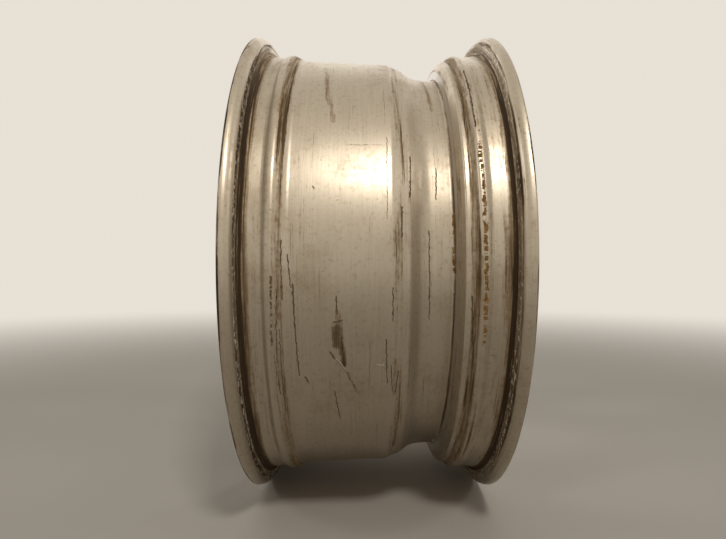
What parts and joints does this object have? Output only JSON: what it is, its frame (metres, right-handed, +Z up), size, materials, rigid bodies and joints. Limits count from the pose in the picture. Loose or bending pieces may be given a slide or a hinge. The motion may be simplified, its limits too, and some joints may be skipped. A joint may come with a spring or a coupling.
{
  "type": "wheel rim",
  "caption": "One-piece cast alloy car wheel rim with a plain barrel, drop centre, hump bead seats, flanges and spoked disc, used and unfitted",
  "frame": {"origin": "the wheel's centre: the point on the axle's line midway between the two flanges", "axes": "the wheel turns about Y; +Y points inboard, towards the vehicle and the brake, and -Y outboard; +Z is up, with the valve hole towards +X"},
  "size_m": [0.4969, 0.2378, 0.497],
  "materials": {
    "silver_paint": "satin silver paint, worn"
  },
  "bodies": {
    "root": {"wheel_rim": "silver_paint"}
  },
  "joints": []
}
